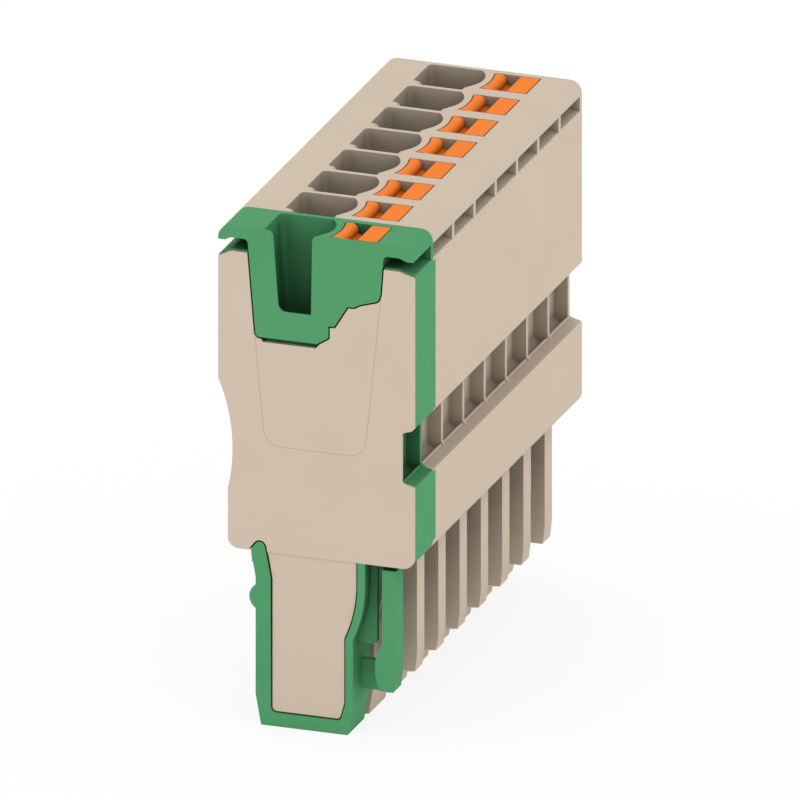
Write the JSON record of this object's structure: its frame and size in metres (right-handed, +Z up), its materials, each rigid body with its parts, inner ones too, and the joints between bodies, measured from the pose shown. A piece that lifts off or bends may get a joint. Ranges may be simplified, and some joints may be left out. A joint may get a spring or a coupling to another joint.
{
  "type": "terminal block",
  "caption": "Row of push-in terminal poles with a green end pole: wire funnels and orange release pushers on top, plug-in tongues and latch legs below.",
  "frame": {"origin": "centre of the bounding box, on the plane of the tongue tips", "axes": "+Z up to the wire side, +Y along the row of poles away from the covered green end, +X towards the latch legs"},
  "size_m": [0.0166, 0.0402, 0.0424],
  "materials": {
    "beige_moulding": "fine matte moulding, warm beige grey",
    "green_moulding": "fine matte moulding, mid green",
    "orange_moulding": "smooth matte moulding, orange",
    "spring_steel": "rolled stainless strip",
    "contact_metal": "stamped copper alloy, plain"
  },
  "bodies": {
    "block": {"end_cover": "beige_moulding", "housing_1": "green_moulding", "clamp_spring_1": "spring_steel", "contact_1": "contact_metal", "housing_2": "beige_moulding", "clamp_spring_2": "spring_steel", "contact_2": "contact_metal", "housing_3": "beige_moulding", "clamp_spring_3": "spring_steel", "contact_3": "contact_metal", "housing_4": "beige_moulding", "clamp_spring_4": "spring_steel", "contact_4": "contact_metal", "housing_5": "beige_moulding", "clamp_spring_5": "spring_steel", "contact_5": "contact_metal", "housing_6": "beige_moulding", "clamp_spring_6": "spring_steel", "contact_6": "contact_metal", "housing_7": "beige_moulding", "clamp_spring_7": "spring_steel", "contact_7": "contact_metal", "housing_8": "beige_moulding", "clamp_spring_8": "spring_steel", "contact_8": "contact_metal"},
    "release_1": {"pusher_1": "orange_moulding"},
    "release_2": {"pusher_2": "orange_moulding"},
    "release_3": {"pusher_3": "orange_moulding"},
    "release_4": {"pusher_4": "orange_moulding"},
    "release_5": {"pusher_5": "orange_moulding"},
    "release_6": {"pusher_6": "orange_moulding"},
    "release_7": {"pusher_7": "orange_moulding"},
    "release_8": {"pusher_8": "orange_moulding"}
  },
  "joints": [
    {"name": "release_1_press", "type": "slide", "parent": "block", "child": "release_1", "axis": [0, 0, -1], "range_m": [0, 0.0015], "stiffness_N_per_m": 2000, "springref_m": -0.001, "deforming": ["clamp_spring_1"]},
    {"name": "release_2_press", "type": "slide", "parent": "block", "child": "release_2", "axis": [0, 0, -1], "range_m": [0, 0.0015], "stiffness_N_per_m": 2000, "springref_m": -0.001, "deforming": ["clamp_spring_2"]},
    {"name": "release_3_press", "type": "slide", "parent": "block", "child": "release_3", "axis": [0, 0, -1], "range_m": [0, 0.0015], "stiffness_N_per_m": 2000, "springref_m": -0.001, "deforming": ["clamp_spring_3"]},
    {"name": "release_4_press", "type": "slide", "parent": "block", "child": "release_4", "axis": [0, 0, -1], "range_m": [0, 0.0015], "stiffness_N_per_m": 2000, "springref_m": -0.001, "deforming": ["clamp_spring_4"]},
    {"name": "release_5_press", "type": "slide", "parent": "block", "child": "release_5", "axis": [0, 0, -1], "range_m": [0, 0.0015], "stiffness_N_per_m": 2000, "springref_m": -0.001, "deforming": ["clamp_spring_5"]},
    {"name": "release_6_press", "type": "slide", "parent": "block", "child": "release_6", "axis": [0, 0, -1], "range_m": [0, 0.0015], "stiffness_N_per_m": 2000, "springref_m": -0.001, "deforming": ["clamp_spring_6"]},
    {"name": "release_7_press", "type": "slide", "parent": "block", "child": "release_7", "axis": [0, 0, -1], "range_m": [0, 0.0015], "stiffness_N_per_m": 2000, "springref_m": -0.001, "deforming": ["clamp_spring_7"]},
    {"name": "release_8_press", "type": "slide", "parent": "block", "child": "release_8", "axis": [0, 0, -1], "range_m": [0, 0.0015], "stiffness_N_per_m": 2000, "springref_m": -0.001, "deforming": ["clamp_spring_8"]}
  ]
}
